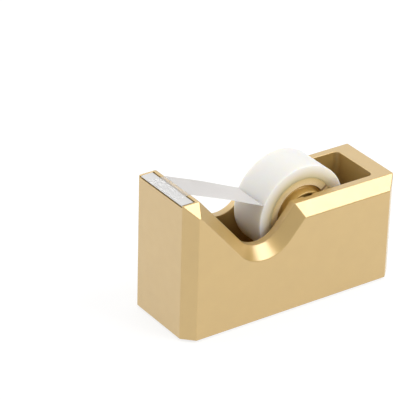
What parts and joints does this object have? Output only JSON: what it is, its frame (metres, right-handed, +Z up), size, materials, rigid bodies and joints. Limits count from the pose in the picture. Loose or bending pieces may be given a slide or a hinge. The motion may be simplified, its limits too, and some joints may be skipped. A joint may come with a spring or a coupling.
{
  "type": "tape dispenser",
  "caption": "Weighted desk tape dispenser: chamfered gold housing with a saddle dip, serrated cutter blade, and a lift-out hub carrying a part-used roll of clear tape.",
  "frame": {"origin": "middle of the footprint, on the desk under the non-slip pad", "axes": "+X across the width to the side the picture shows, +Y from the cutter blade towards the back, +Z up"},
  "size_m": [0.0424, 0.109, 0.0639],
  "materials": {
    "satin_gold": "satin metallic gold lacquer",
    "hub_gold": "satin metallic gold lacquer",
    "blade_steel": "bright nickel-plated steel",
    "screw_steel": "zinc-plated steel",
    "plain_steel": "plain mild steel",
    "ballast_iron": "rough casting",
    "black_plastic": "fine moulded texture",
    "pad_foam": "closed-cell foam",
    "tape_film": "frosted translucent film",
    "core_card": "wound tan card"
  },
  "bodies": {
    "dispenser_body": {"housing": "satin_gold", "base_plate": "black_plastic", "non_slip_pad": "pad_foam", "front_ballast": "ballast_iron", "floor_ballast": "plain_steel", "base_screw_1": "screw_steel", "base_screw_2": "screw_steel", "base_screw_3": "screw_steel", "base_screw_4": "screw_steel", "cutter_blade": "blade_steel"},
    "axle_carrier": {"axle": "plain_steel", "tape_leader": "tape_film"},
    "reel": {"hub_left": "hub_gold", "hub_right": "hub_gold", "tape_core": "core_card", "tape_roll": "tape_film"}
  },
  "joints": [
    {"name": "refill_lift", "type": "slide", "parent": "dispenser_body", "child": "axle_carrier", "axis": [0, 0, 1], "range_m": [0, 0.05]},
    {"name": "roll_spin", "type": "hinge", "parent": "axle_carrier", "child": "reel", "pos_m": [0, 0.01115, 0.0386], "axis": [1, 0, 0], "continuous": true}
  ]
}
